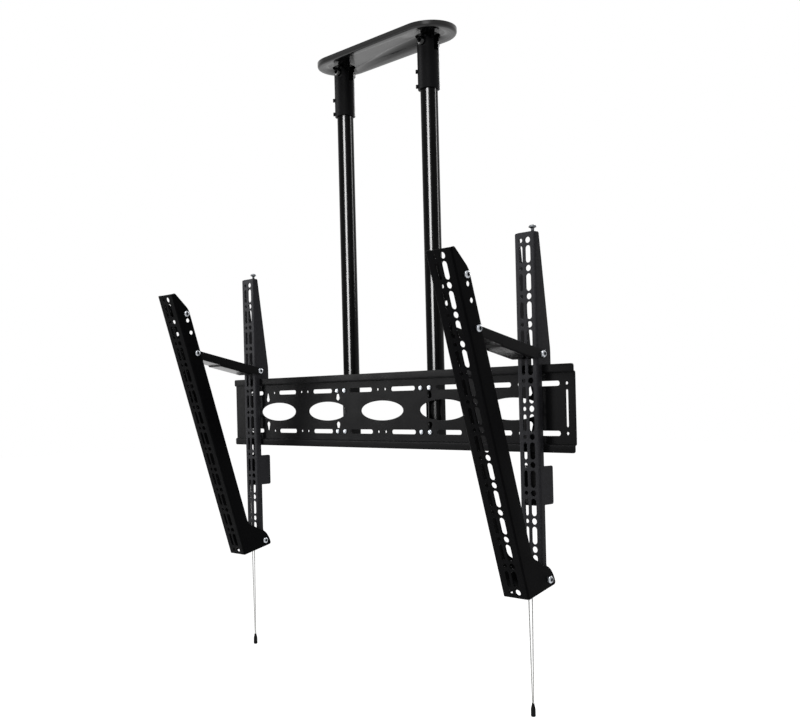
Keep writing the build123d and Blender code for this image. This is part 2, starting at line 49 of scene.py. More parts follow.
scene = bpy.context.scene
sides = {"left": -1, "right": 1}

# %% [markdown]
# ## Camera
#
# The holes of the arms are 50 mm apart, so their places in the photograph give the camera: where it stood,
# how it was turned and how long its lens was. A camera looks down its own -Z, so it is first raised by a
# quarter turn about X, then turned about Z, with a small roll about its line of sight. The photograph is cut
# from a larger frame, so its middle is not where the lens pointed, and a small lens shift gives that.

# %% Camera
photo_width = 800
focal_pixels = 1006.3
camera_place = Vector((1464.5, -1522.7, -735.9)) * mm
camera_turn, camera_lift, camera_roll = radians(48.008), radians(0.019), radians(-1.391)

camera_data = bpy.data.cameras.new("camera")
camera_data.sensor_width = 36
camera_data.lens = focal_pixels / photo_width * camera_data.sensor_width
camera_data.shift_x, camera_data.shift_y = 0.1, 0.045
camera = bpy.data.objects.new("camera", camera_data)
camera.matrix_world = (
    Matrix.Translation(camera_place)
    @ Matrix.Rotation(camera_turn, 4, "Z")
    @ Matrix.Rotation(pi / 2 + camera_lift, 4, "X")
    @ Matrix.Rotation(camera_roll, 4, "Z")
)
scene.collection.objects.link(camera)
scene.camera = camera
print(f"lens {camera_data.lens:.1f} mm")

# %% [markdown]
# ## Nodes and colours
#
# A colour is easiest to pick as a hex code, which is sRGB, but shaders work in linear light, so one function
# converts it. Another adds a node, sets its properties and connects its inputs.

# %% Node helpers
def linear(code):
    """A colour such as #1c1d1f in the linear values that a shader expects."""
    parts = [int(code[i : i + 2], 16) / 255 for i in (1, 3, 5)]
    return [p / 12.92 if p <= 0.04045 else ((p + 0.055) / 1.055) ** 2.4 for p in parts] + [1]


def add_node(tree, kind, inputs, **settings):
    """Add one node. Each input gets a value, or the output socket that feeds it."""
    made = tree.nodes.new(kind)
    for name, value in settings.items():
        setattr(made, name, value)
    for name, value in inputs.items():
        if isinstance(value, bpy.types.NodeSocket):
            tree.links.new(value, made.inputs[name])
        else:
            made.inputs[name].default_value = value
    return made


def new_material(name):
    """An empty node material, its tree and the Object coordinates of the piece."""
    material = bpy.data.materials.new(name)
    material.use_nodes = True
    tree = material.node_tree
    tree.nodes.clear()
    place = add_node(tree, "ShaderNodeTexCoord", {}).outputs["Object"]
    return material, tree, place


def per_size(size):
    """The scale of a texture whose features are this many millimetres across."""
    return 1 / (size * mm)


# Nearly all of a noise texture's values lie between these two.
noise_low, noise_high = 0.3, 0.7


def lay_surface(tree, tone, colours, shine, bump, sockets, ends=(0, 1)):
    """Complete a material whose colour, roughness and relief each follow a pattern's output.

    shine is a pattern with its lowest and highest roughness, or None. bump is a pattern with its strength
    and its depth in millimetres. sockets are the shader's own fixed values.
    """
    shade = add_node(tree, "ShaderNodeValToRGB", {"Fac": tone})
    for element, colour, position in zip(shade.color_ramp.elements, colours, ends):
        element.color = linear(colour)
        element.position = position
    height, strength, depth = bump
    relief = add_node(
        tree, "ShaderNodeBump", {"Height": height, "Strength": strength, "Distance": depth * mm}
    )
    inputs = {"Base Color": shade.outputs["Color"], "Normal": relief.outputs["Normal"], **sockets}
    if shine:
        value, low, high = shine
        spread = {"From Min": noise_low, "From Max": noise_high, "To Min": low, "To Max": high}
        gloss = add_node(tree, "ShaderNodeMapRange", {"Value": value, **spread})
        inputs["Roughness"] = gloss.outputs["Result"]
    surface = add_node(tree, "ShaderNodeBsdfPrincipled", inputs)
    add_node(tree, "ShaderNodeOutputMaterial", {"Surface": surface.outputs["BSDF"]})


# %% [markdown]
# ## Satin powder coat
#
# The sheet parts are steel with a polyester powder coat. The powder is sprayed on dry and melts in an oven,
# which leaves a fine, slightly pebbled skin: black, but never quite dead, because each tiny bump turns a
# little light towards the eye. Its pebbles are about 0.7 mm wide, and thicker and thinner places show as
# a slow change of gloss over a few centimetres. Matting agents in the powder swallow most of the mirror
# reflection, so the specular level is far below that of clear varnish. The same coat comes in three tones:
# the greyer one on the two upright arms is painted sheen, and the deeper black one on the tilting arms,
# with an even lower specular level, is painted shade.

# %% Satin powder coat
powder_coats = {}
# The second and third tones are painted light: greyer for sheen on the upright arms, darker for shade on the
# tilting arms.
for name, dark, light, level in (
    ("satin black powder coat", "#060607", "#0e0e0f", 0.05),
    ("greyed black powder coat", "#1f1f21", "#2f2f32", 0.05),
    ("deep black powder coat", "#030304", "#080809", 0.02),
):
    powder_coats[name], tree, place = new_material(name)
    pebbles = add_node(tree, "ShaderNodeTexNoise", {"Vector": place, "Scale": per_size(0.7), "Detail": 2})
    flow = add_node(tree, "ShaderNodeTexNoise", {"Vector": place, "Scale": per_size(35), "Detail": 3})
    grit = add_node(tree, "ShaderNodeTexNoise", {"Vector": place, "Scale": per_size(2.4), "Detail": 4})
    lay_surface(
        tree,
        grit.outputs["Fac"],
        (dark, light),
        (flow.outputs["Fac"], 0.4, 0.5),
        (pebbles.outputs["Fac"], 0.35, 0.06),
        {"IOR": 1.5, "Specular IOR Level": level},
        ends=(noise_low, noise_high),
    )
powder_coat, arm_coat_painted_sheen, tilt_arm_coat_painted_shade = powder_coats.values()

# %% [markdown]
# ## Gloss black
#
# The ceiling cover and the poles are sprayed black and flow out almost like glass. What shows is mainly what
# they mirror, so the paint is nearly black and smooth, with a faint ripple some 90 mm long that makes
# a reflected edge waver as it does on real paint. The cover has a clear enamel, while the poles' lacquer is
# smoked: it stays darker and shows little more than the lamps, as two streaks down each pole.

# %% Gloss black
gloss_paints = {}
for name, level, shine in (
    ("gloss black enamel", 0.3, (0.2, 0.26)),
    ("smoked black lacquer", 0.05, (0.15, 0.19)),
):
    gloss_paints[name], tree, place = new_material(name)
    ripple = add_node(tree, "ShaderNodeTexNoise", {"Vector": place, "Scale": per_size(90), "Detail": 0})
    dust = add_node(tree, "ShaderNodeTexNoise", {"Vector": place, "Scale": per_size(60), "Detail": 5})
    lay_surface(
        tree,
        dust.outputs["Fac"],
        ("#030303", "#09090a"),
        (dust.outputs["Fac"], *shine),
        (ripple.outputs["Fac"], 0.3, 0.1),
        {"IOR": 1.5, "Specular IOR Level": level},
    )
gloss_black, pole_lacquer = gloss_paints.values()

# %% [markdown]
# ## Zinc plate
#
# The bolts and screws are steel with zinc plating. It is a metal, so its colour is in its reflection, and the
# drawn wire that bolts are made from leaves it a little uneven: patches of brighter and duller metal about
# 3 mm across, and fine scratches. The bolts' domes are bright. The level screws are a darker, duller zinc,
# and the same dark zinc lines the bolts' sockets as painted shade.

# %% Zinc plate
zinc_states = {}
# The dulled zinc is the level screws' own finish, and inside the sockets it is painted shade.
for name, dark, light, shine in (
    ("bright zinc plate", "#85898e", "#b4b7bb", (0.42, 0.28)),
    ("dulled zinc plate", "#4a4c4f", "#6a6d70", (0.6, 0.45)),
):
    zinc_states[name], tree, place = new_material(name)
    patches = add_node(tree, "ShaderNodeTexNoise", {"Vector": place, "Scale": per_size(3), "Detail": 3})
    scratches = add_node(
        tree,
        "ShaderNodeTexNoise",
        {"Vector": place, "Scale": per_size(0.5), "Detail": 2, "Distortion": 1.5},
    )
    lay_surface(
        tree,
        patches.outputs["Fac"],
        (dark, light),
        (patches.outputs["Fac"], *shine),
        (scratches.outputs["Fac"], 0.15, 0.03),
        {"Metallic": 1},
    )
zinc_plate, dull_zinc_and_socket_shade = zinc_states.values()

# %% [markdown]
# ## Black plastic
#
# The toggles and the pole caps are moulded ABS. The mould was spark-eroded, so the plastic carries a fine
# matt grain about 0.4 mm wide, and looks softer than the paint beside it.

# %% Black plastic
black_plastic, tree, place = new_material("moulded black ABS")
grain = add_node(tree, "ShaderNodeTexNoise", {"Vector": place, "Scale": per_size(0.4), "Detail": 2})
marks = add_node(tree, "ShaderNodeTexNoise", {"Vector": place, "Scale": per_size(9), "Detail": 3})
lay_surface(
    tree,
    marks.outputs["Fac"],
    ("#060607", "#0d0d0e"),
    (marks.outputs["Fac"], 0.4, 0.52),
    (grain.outputs["Fac"], 0.3, 0.05),
    {"IOR": 1.52, "Specular IOR Level": 0.08},
)

# %% [markdown]
# ## Braided cord
#
# The pull cords are silver-grey polyester, braided in a tube: yarns run down the cord in two opposite
# spirals, and each crossing is a small bump about 0.8 mm long. Two waves that slope against each other draw
# that, some 5 mm long, because finer ones would not show. The yarn scatters light, so it is rough, with
# a little sheen from its fibres.

# %% Braided cord
cord_braid, tree, place = new_material("braided polyester cord")
crossing = 0.8
# The wave texture counts 20 radians in its unit, so a wave drawn at this scale is 2 pi crossings long.
wave_radians = 20
wave_scale = per_size(crossing) / wave_radians
yarns = []
for slope in (1, -1):
    turned = add_node(
        tree,
        "ShaderNodeMapping",
        {"Vector": place, "Rotation": (0, radians(45) * slope, radians(45))},
    )
    yarns.append(
        add_node(
            tree,
            "ShaderNodeTexWave",
            {"Vector": turned.outputs["Vector"], "Scale": wave_scale, "Distortion": 0.4},
            bands_direction="Z",
        )
    )
braid = add_node(
    tree,
    "ShaderNodeMath",
    {0: yarns[0].outputs["Fac"], 1: yarns[1].outputs["Fac"]},
    operation="MAXIMUM",
)
# The braid's low places, between the yarns, are coloured darker as painted shade.
lay_surface(
    tree,
    braid.outputs["Value"],
    ("#a2a2a0", "#c6c6c4"),
    None,
    (braid.outputs["Value"], 0.4, 0.12),
    {"Roughness": 0.75, "Sheen Weight": 0.3},
)
print(f"{len(bpy.data.materials)} materials")

# %% [markdown]
# ## Finishing a piece
#
# Every piece is drawn in a bmesh in millimetres. When it is done it is scaled to metres, gets its material,
# rides on the CAD body that carries it and stands for that body's CAD node. The weighted normals keep large
# flat faces flat in the light although their edges are rounded.

# %% Finish function
smooth_limit = radians(50)


def finish_piece(bm, node, ending, material, body="frame", second=None):
    """Make an object of a drawn piece, named after its CAD node, and let it ride in that node's place.

    Faces with material index 1 take the second material.
    """
    name = f"{node}_{ending}"
    bmesh.ops.remove_doubles(bm, verts=bm.verts[:], dist=0.001)
    bmesh.ops.scale(bm, verts=bm.verts[:], vec=(mm, mm, mm))
    for face in bm.faces:
        face.smooth = True
    mesh = bpy.data.meshes.new(name)
    bm.to_mesh(mesh)
    bm.free()
    mesh.set_sharp_from_angle(angle=smooth_limit)
    for finish in (material, second):
        if finish:
            mesh.materials.append(finish)
    piece = bpy.data.objects.new(name, mesh)
    scene.collection.objects.link(piece)
    shading = piece.modifiers.new("even shading", "WEIGHTED_NORMAL")
    shading.mode = "FACE_AREA_WITH_ANGLE"
    shading.keep_sharp = True
    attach(piece, body)
    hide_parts(node)
    print(f"{name}: {len(mesh.polygons)} faces")
    return piece


# %% [markdown]
# ## Turned parts
#
# Anything round, such as a toggle, a pole or a screw, is a profile spun once round its axis. The profile is
# a row of points, each a radius and a height. The last step of a full spin lands on the first, so the two
# are merged.

# %% Turning function
def turn(bm, profile, steps=48, closed=False):
    """Spin a profile round the Z axis. A closed profile is a ring, such as a tube's wall."""
    start = len(bm.verts)
    points = [bm.verts.new((radius, 0, height)) for radius, height in profile]
    pairs = list(zip(points, points[1:] + points[:1] if closed else points[1:]))
    edges = [bm.edges.new(pair) for pair in pairs]
    bmesh.ops.spin(
        bm,
        geom=points + edges,
        cent=(0, 0, 0),
        axis=(0, 0, 1),
        dvec=(0, 0, 0),
        angle=2 * pi,
        steps=steps,
        use_merge=True,
    )
    bm.verts.ensure_lookup_table()
    made = bm.verts[start:]
    bmesh.ops.remove_doubles(bm, verts=made, dist=0.001)
    bmesh.ops.recalc_face_normals(bm, faces=bm.faces[:])


# %% [markdown]
# ## Pull cords and toggles
#
# A pull frees the latch under the rail. Each arm has two thin strands from the latch down to one toggle, held
# straight by its weight. A strand is a spline with a round bevel, and the toggle is a turned bell with three
# grip grooves and a hollow mouth.

# %% Toggles
arm_x = {"left": -418, "right": 382}
arm_front = -50.5
rail_drop = 760
cord_diameter = 2.2
cord_x = {side: middle - 10 for side, middle in arm_x.items()}
cord_y = arm_front + 6.5
latch_bottom = -172.5
toggle_top = -527 - rail_drop
toggle_profile = [
    (0, 0),
    (2.2, 0),
    (2.5, -0.4),
    (2.6, -1.6),
    (2.8, -3.2),
    (3.25, -4.8),
    (3.75, -6.6),
    (4.1, -8.6),
    (4.35, -11),
    (4.5, -14),
]
for groove in (-15, -17, -19):
    toggle_profile += [(4.5, groove), (4.2, groove - 0.3), (4.2, groove - 0.7), (4.5, groove - 1)]
toggle_profile += [(4.5, -22.2), (4.3, -23.2), (3.8, -23.8), (3.2, -24), (2.9, -23.6), (2.6, -15), (0, -14)]
for side in sides:
    bm = bmesh.new()
    turn(bm, toggle_profile)
    bmesh.ops.translate(bm, verts=bm.verts[:], vec=(cord_x[side], cord_y, toggle_top))
    finish_piece(bm, f"toggle_{side}", "bell", black_plastic, f"latch_{side}")

# %% [markdown]
# The strands leave the latch side by side and close in on the toggle. A taut cord needs only its two ends,
# with one more point near each, so that the spline is straight in between.

# %% Cords
half_spread_top, half_spread_bottom = 6.2, 1.3
near_end = 0.04
for side in sides:
    for strand, way in (("a", -1), ("b", 1)):
        top = Vector((cord_x[side] + way * half_spread_top, cord_y, latch_bottom - rail_drop)) * mm
        bottom = Vector((cord_x[side] + way * half_spread_bottom, cord_y, toggle_top)) * mm
        route = [top, top.lerp(bottom, near_end), top.lerp(bottom, 1 - near_end), bottom]
        line = bpy.data.curves.new(f"cord_{side}_{strand}_line", "CURVE")
        line.dimensions = "3D"
        line.bevel_depth = cord_diameter / 2 * mm
        line.bevel_resolution = 4
        line.use_fill_caps = True
        spline = line.splines.new("NURBS")
        spline.points.add(len(route) - 1)
        for point, place in zip(spline.points, route):
            point.co = (*place, 1)
        spline.order_u = 3
        spline.use_endpoint_u = True
        line.materials.append(cord_braid)
        cord = bpy.data.objects.new(f"cord_{side}_{strand}_line", line)
        scene.collection.objects.link(cord)
        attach(cord, f"latch_{side}")
        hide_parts(f"cord_{side}_{strand}")
        print(f"{cord.name}: {(bottom - top).length / mm:.1f} mm")

# %% [markdown]
# ## Sheet metal
#
# Most of this mount is laser-cut steel sheet, bent in a press brake, and the same three steps draw it here:
# cut a flat outline with its holes, give it thickness and broken edges, and fold it. The outline is a ring of
# corners whose vertices are bevelled round. A fill between all the rings makes the sheet, an extrusion its
# thickness, and an edge bevel takes the sharpness off every rim.

# %% Cutting functions
def round_off(bm, geom, size, segments, affect="EDGES", **more):
    """Round edges or vertices to a radius."""
    bmesh.ops.bevel(
        bm,
        geom=geom,
        offset=size,
        offset_type="OFFSET",
        segments=segments,
        profile=0.5,
        affect=affect,
        material=-1,
        **more,
    )


def rectangle(half_x, half_y, rounding, middle_x=0):
    """The corners of a rectangular outline."""
    corners = ((-1, -1), (1, -1), (1, 1), (-1, 1))
    return [(middle_x + x * half_x, y * half_y, rounding) for x, y in corners]


def mirrored(right):
    """The outline of a channel, from the corners of its right side."""
    return right + [(-x, y, r) for x, y, r in reversed(right)]


def cut_outline(bm, corners):
    """Draw a closed outline: each corner is x, y and its rounding."""
    points = [bm.verts.new((x, y, 0)) for x, y, _ in corners]
    bm.faces.new(points)
    for rounding in sorted({r for _, _, r in corners if r}):
        chosen = [p for p, (_, _, r) in zip(points, corners) if r == rounding]
        round_off(bm, chosen, rounding, 6, affect="VERTICES")
    bmesh.ops.delete(bm, geom=bm.faces[:], context="FACES_ONLY")


def punch(bm, x, y, width, length=0, axis=1, segments=28):
    """Draw the rim of a round hole, or of a slot where a length along an axis is given."""
    place = Matrix.Translation((x, y, 0)) @ Matrix.Rotation(pi / segments, 4, "Z")
    circle = bmesh.ops.create_circle(bm, segments=segments, radius=width / 2, cap_ends=False, matrix=place)
    rim = circle["verts"]
    centre = (x, y)[axis]
    if length:
        for way in (-1, 1):
            half = [v for v in rim if (v.co[axis] - centre) * way > 0]
            shift = Vector((0, 0, 0))
            shift[axis] = way * (length - width) / 2
            bmesh.ops.translate(bm, verts=half, vec=shift)
    return rim


def thicken(bm, thickness, rim_round=0.4):
    """Fill between the rings, extrude the sheet's thickness and round its rims."""
    bmesh.ops.triangle_fill(bm, use_beauty=True, use_dissolve=False, edges=bm.edges[:], normal=(0, 0, 1))
    bmesh.ops.translate(bm, verts=bm.verts[:], vec=(0, 0, -thickness / 2))
    grown = bmesh.ops.extrude_face_region(bm, geom=bm.faces[:])["geom"]
    upper = [g for g in grown if isinstance(g, bmesh.types.BMVert)]
    bmesh.ops.translate(bm, verts=upper, vec=(0, 0, thickness))
    bmesh.ops.recalc_face_normals(bm, faces=bm.faces[:])
    rims = [e for e in bm.edges if e.calc_face_angle(0) > 1 and e.verts[0].co.z == e.verts[1].co.z]
    round_off(bm, rims, rim_round, 2, clamp_overlap=False, loop_slide=False)


# %% [markdown]
# A fold happens along a line. The sheet is first cut across in narrow strips where the bend will be, because
# only vertices can move. Then everything past the line is wound round the bend's radius, measured at the
# middle of the sheet, where it neither stretches nor shrinks. A positive angle folds towards the back.

# %% Folding functions
def slice_along(bm, point, normal, **more):
    """Cut new edges into a mesh along a plane. Gives the geometry of the cut."""
    everything = bm.verts[:] + bm.edges[:] + bm.faces[:]
    cut = bmesh.ops.bisect_plane(
        bm, geom=everything, dist=0.0001, plane_co=point, plane_no=normal, **more
    )
    return cut["geom_cut"]


def fold(bm, axis, line, radius, angle, steps=5):
    """Fold what lies past a line across an axis, round a radius."""
    along = Vector((0, 0, 0))
    along[axis] = 1 if line > 0 else -1
    start = abs(line)
    arc = radius * abs(angle)
    for step in range(steps + 1):
        slice_along(bm, along * (start + arc * step / steps), along)
    way = 1 if angle > 0 else -1
    for vert in bm.verts:
        run = vert.co.dot(along) - start
        if run <= 0:
            continue
        turned = abs(angle) * min(run / arc, 1)
        rest = max(run - arc, 0)
        height = vert.co.z * way
        ahead = radius * sin(turned) + rest * cos(turned) + height * sin(turned)
        down = radius * (1 - cos(turned)) + rest * sin(turned) - height * cos(turned)
        vert.co += along * (ahead - run)
        vert.co.z = -down * way


def put(bm, x, y, z, x_axis=(1, 0, 0), y_axis=(0, 0, 1), z_axis=(0, -1, 0)):
    """Move a piece from the drawing board to its place. By default the sheet stands, facing the screen."""
    place = Matrix((x_axis, y_axis, z_axis)).transposed().to_4x4()
    place.translation = (x, y, z)
    bmesh.ops.transform(bm, matrix=place, verts=bm.verts[:])


# %% [markdown]
# ## Cross rail
#
# The rail carries everything. It is one sheet with five oval windows, two rows of slots, keyholes and small
# holes, and along each long edge it steps forward to a lip that the arms hook over. The step is two bends
# that undo each other, so the outer one is folded first and the inner one swings it into place.

# %% Cross rail
rail_length = 962.5
rail_middle_x = -12.75
rail_front = -33.5
sheet = 2.5
joggle_radius = 2.25
joggle_line = 61.5
joggle_arc = joggle_radius * pi / 2
lip_edge = joggle_line + 2 * joggle_arc + 12
slot_row, slot_width = 44, 9
slot_spans = ((27.5, 94), (150.7, 213), (271.4, 332), (389.7, 437))
window_pitch, window_length, window_height = 167.2, 122.5, 41
small_hole, small_hole_places = 5.5, (10.6, 231.3, 252.5, 349, 451.5)
end_slot_place, end_slot_width, end_slot_length = 451.5, 5, 66
keyhole_places, keyhole_row, keyhole_width = (132.8, 372.5), 29, 12
neck_share, neck_shift = 5 / 12, 12

bm = bmesh.new()
cut_outline(bm, rectangle(rail_length / 2, lip_edge, 4, rail_middle_x))
for place in range(-2, 3):
    rim = punch(bm, place * window_pitch, 0, window_height, segments=72)
    bmesh.ops.scale(
        bm,
        verts=rim,
        vec=(window_length / window_height, 1, 1),
        space=Matrix.Translation((-place * window_pitch, 0, 0)),
    )
for way in (-1, 1):
    for row in (-slot_row, slot_row):
        for inner, outer in slot_spans:
            punch(bm, way * (inner + outer) / 2, row, slot_width, outer - inner, axis=0)
        for place in small_hole_places:
            punch(bm, way * place, row, small_hole, segments=20)
    punch(bm, way * end_slot_place, 0, end_slot_width, end_slot_length, segments=20)
    for place in keyhole_places:
        for up in (-1, 1):
            rim = punch(bm, way * place, up * keyhole_row, keyhole_width)
            neck = [v for v in rim if (v.co.y - up * keyhole_row) * up > 0]
            bmesh.ops.scale(
                bm,
                verts=neck,
                vec=(neck_share, neck_share, 1),
                space=Matrix.Translation((-way * place, -up * keyhole_row, 0)),
            )
            bmesh.ops.translate(bm, verts=neck, vec=(0, up * neck_shift, 0))
thicken(bm, sheet)
for way in (-1, 1):
    fold(bm, 1, way * (joggle_line + joggle_arc), joggle_radius, pi / 2)
    fold(bm, 1, way * joggle_line, joggle_radius, -pi / 2)
put(bm, 0, rail_front + sheet / 2, -rail_drop)
finish_piece(bm, "rail", "sheet", powder_coat)

# %% [markdown]
# ## Arms
#
# Each arm is a channel: a punched front and two flanges, folded back. The flanges hook over the rail's
# upper lip, carry the latch below it and end in a foot for the tilt pivot. On the flat sheet a flange is
# simply more sheet beside the front, so its outline is drawn by how deep each corner will lie behind it.

# %% Arms
bend_outside = 3.5
bend_middle = bend_outside - sheet / 2
bend_arc = bend_middle * pi / 2
wide_column, wide_hole, wide_slot = 6.6, 11, 31
narrow_column, narrow_hole, narrow_slot = -8.6, 7.4, 30
hole_pitch, pitches = 50, 12


def punch_columns(bm, top):
    """Both columns of a strip: a hole at each pitch and a slot half way to the next."""
    for x, hole, slot in (
        (wide_column, wide_hole, wide_slot),
        (narrow_column, narrow_hole, narrow_slot),
    ):
        for row in range(pitches + 1):
            punch(bm, x, top - row * hole_pitch, hole)
        for row in range(pitches):
            punch(bm, x, top - (row + 0.5) * hole_pitch, hole, slot)


def flat_x(depth, half_width, outside=bend_outside, middle=bend_middle):
    """Where a flange's point, so deep behind the front face, lies on the flat sheet."""
    return half_width - 2 * outside + middle * pi / 2 + depth


arm_half_width, arm_half_length = 22, 315
tab_line = arm_half_length - bend_outside
tab_root = tab_line + 2
tab_half_width, tab_length = 16, 19
tab_end = tab_line + bend_arc + tab_length - bend_outside
arm_flange = (
    (13, tab_root, 3),
    (39.5, 105, 6),
    (39.5, 70, 4),
    (15.05, 70, 1),
    (15.05, 78.05, 0),
    (12.45, 78.05, 0),
    (12.45, -102, 1),
    (38.5, -102, 4),
    (38.5, -171, 4),
    (12.45, -171, 1),
    (12.45, -280, 6),
    (22, -290, 6),
    (22, -315, 4),
)
for side in sides:
    bm = bmesh.new()
    right = [(flat_x(depth, arm_half_width), y, r) for depth, y, r in arm_flange]
    tab = [
        (-tab_half_width, tab_root, 0),
        (-tab_half_width, tab_end, 4),
        (tab_half_width, tab_end, 4),
        (tab_half_width, tab_root, 0),
    ]
    cut_outline(bm, mirrored(right) + tab)
    punch_columns(bm, pitches * hole_pitch / 2)
    thicken(bm, sheet)
    fold(bm, 1, tab_line, bend_middle, pi / 2)
    for way in (-1, 1):
        fold(bm, 0, way * (arm_half_width - bend_outside), bend_middle, pi / 2)
    put(bm, arm_x[side], arm_front + sheet / 2, -rail_drop)
    # The arms' greyer coat is painted sheen.
    finish_piece(bm, f"arm_{side}", "channel", arm_coat_painted_sheen, f"arm_{side}")

# %% [markdown]
# ## Tilting arms
#
# The screen is bolted to these. They are wider channels of the same kind, with an ear at the foot that turns
# on the arm's lower bolt. They lean forward, so the finished channel is turned about that bolt.

# %% Tilting arms
tilt_half_width = 28
tilt_lean = radians(17.24)
tilt_front, tilt_top, tilt_bottom, tilt_top_hole = -66, 614, -8.6, 602.7
tilt_pivot = (-38.5, -302 - rail_drop)
tilt_flange = (
    (9, tilt_top, 3),
    (33, 571, 8),
    (33, 56, 10),
    (75, 18.5, 7),
    (81, 0, 7),
    (81, -14.6, 5),
    (bend_outside, tilt_bottom, 0),
)
flange_hole, flange_hole_depth, flange_hole_heights = 9, 23, (520, 548)
lean_up = (0, -sin(tilt_lean), cos(tilt_lean))
lean_front = (0, -cos(tilt_lean), -sin(tilt_lean))
for side in sides:
    bm = bmesh.new()
    cut_outline(bm, mirrored([(flat_x(depth, tilt_half_width), y, r) for depth, y, r in tilt_flange]))
    punch_columns(bm, tilt_top_hole)
    for way in (-1, 1):
        for height in flange_hole_heights:
            punch(bm, way * flat_x(flange_hole_depth, tilt_half_width), height, flange_hole)
    thicken(bm, sheet)
    for way in (-1, 1):
        fold(bm, 0, way * (tilt_half_width - bend_outside), bend_middle, pi / 2)
    depth = tilt_front + sheet / 2
    put(
        bm,
        arm_x[side],
        tilt_pivot[0] - depth * lean_front[1],
        tilt_pivot[1] - depth * lean_front[2],
        y_axis=lean_up,
        z_axis=lean_front,
    )
    # The tilting arms' darker coat is painted shade.
    finish_piece(bm, f"tilt_arm_{side}", "channel", tilt_arm_coat_painted_shade, f"tilting_arm_{side}")

# %% [markdown]
# ## Struts
#
# A strut holds each tilting arm at its angle. It is a short channel with its open side up, and its web steps
# up a little towards the front, so that it clears the screen. The step is pressed into the finished channel:
# everything near the web is lifted along a short ramp. The underside, which no hand or screen rubs, has kept
# a gloss, so it shines where the eye meets it at a low angle.

# %% Struts
strut_half_width, strut_sheet, strut_outside = 25, 2.3, 3.2
strut_bend = strut_outside - strut_sheet / 2
strut_pivot = (-38.5, 97 - rail_drop)
tilt_bolt_depth, tilt_bolt_heights = -43, (472, 563)
strut_web, strut_wall, strut_end = 14, 21, 7


def on_tilt_arm(height):
    """Y and Z of a bolt's centre on the flanges of a tilting arm, so far up from its pivot."""
    return (
        tilt_pivot[0] + height * lean_up[1] - tilt_bolt_depth * lean_front[1],
        tilt_pivot[1] + height * lean_up[2] - tilt_bolt_depth * lean_front[2],
    )


strut_far = on_tilt_arm(tilt_bolt_heights[0])
strut_length = hypot(strut_far[0] - strut_pivot[0], strut_far[1] - strut_pivot[1])
strut_rise = atan2(strut_far[1] - strut_pivot[1], strut_pivot[0] - strut_far[0])
strut_along = (0, -cos(strut_rise), sin(strut_rise))
strut_down = (0, -sin(strut_rise), -cos(strut_rise))
step_start, step_run, step_rise = 112, 3, 3
web_zone = 5
strut_flange = (
    (strut_outside, 22, 0),
    (strut_end, -strut_end, 5),
    (strut_wall, -strut_end, 6),
    (strut_wall, strut_length + strut_end, 6),
    (strut_end, strut_length + strut_end, 5),
    (strut_outside, 168, 0),
)
print(f"strut {strut_length:.1f} mm, raised {degrees(strut_rise):.1f} degrees")
for side in sides:
    bm = bmesh.new()
    right = [(flat_x(d, strut_half_width, strut_outside, strut_bend), y, r) for d, y, r in strut_flange]
    cut_outline(bm, mirrored(right))
    thicken(bm, strut_sheet)
    for y in (step_start, step_start + step_run):
        slice_along(bm, (0, y, 0), (0, 1, 0))
    for way in (-1, 1):
        slice_along(bm, (way * (right[0][0] + web_zone - strut_outside), 0, 0), (way, 0, 0))
    for way in (-1, 1):
        fold(bm, 0, way * (strut_half_width - strut_outside), strut_bend, pi / 2)
    for vert in bm.verts:
        if vert.co.z > strut_sheet / 2 - web_zone - 0.01:
            vert.co.z -= step_rise * min(max((vert.co.y - step_start) / step_run, 0), 1)
    shift = strut_sheet / 2 - strut_web
    put(
        bm,
        arm_x[side],
        strut_pivot[0] - shift * strut_down[1],
        strut_pivot[1] - shift * strut_down[2],
        y_axis=strut_along,
        z_axis=strut_down,
    )
    bm.normal_update()
    for face in bm.faces:
        face.material_index = int(face.normal.dot(Vector(strut_down)) > 0.9)
    finish_piece(bm, f"strut_{side}", "channel", powder_coat, f"strut_{side}", second=gloss_black)

# %% [markdown]
# ## Poles
#
# The poles are plain steel tubes, so a closed profile turned round the axis makes each, with its ends broken
# by a small chamfer. A moulded cap closes the lower end.

# %% Poles and caps
pole_x = 122
poles = []
pole_radius, pole_wall, pole_edge = 17.5, 2, 0.4
pole_top, pole_bottom = -49, -825
cap_height = 4
for side, way in sides.items():
    bm = bmesh.new()
    inner = pole_radius - pole_wall
    turn(
        bm,
        [
            (pole_radius - pole_edge, pole_bottom),
            (pole_radius, pole_bottom + pole_edge),
            (pole_radius, pole_top - pole_edge),
            (pole_radius - pole_edge, pole_top),
            (inner, pole_top),
            (inner, pole_bottom),
        ],
        steps=96,
        closed=True,
    )
    bmesh.ops.translate(bm, verts=bm.verts[:], vec=(way * pole_x, 0, 0))
    poles.append(finish_piece(bm, f"pole_{side}", "tube", pole_lacquer))
    bm = bmesh.new()
    turn(
        bm,
        [
            (0, pole_bottom),
            (pole_radius, pole_bottom),
            (pole_radius, pole_bottom - 2.2),
            (pole_radius - 0.5, pole_bottom - 3.3),
            (pole_radius - 1.6, pole_bottom - cap_height),
            (7, pole_bottom - cap_height),
            (6, pole_bottom - cap_height + 0.8),
            (0, pole_bottom - cap_height + 0.8),
        ],
        steps=64,
    )
    bmesh.ops.translate(bm, verts=bm.verts[:], vec=(way * pole_x, 0, 0))
    finish_piece(bm, f"pole_cap_{side}", "moulding", black_plastic)

# %% [markdown]
# ## Pole feet
#
# Behind the rail each pole stands in a short channel, whose back walls hold the tube. It is a sheet piece
# like the arms, only thicker. An opening across its front leaves the rail's oval windows free: it is cut in
# the flat sheet, so it runs over both folds and into the walls.

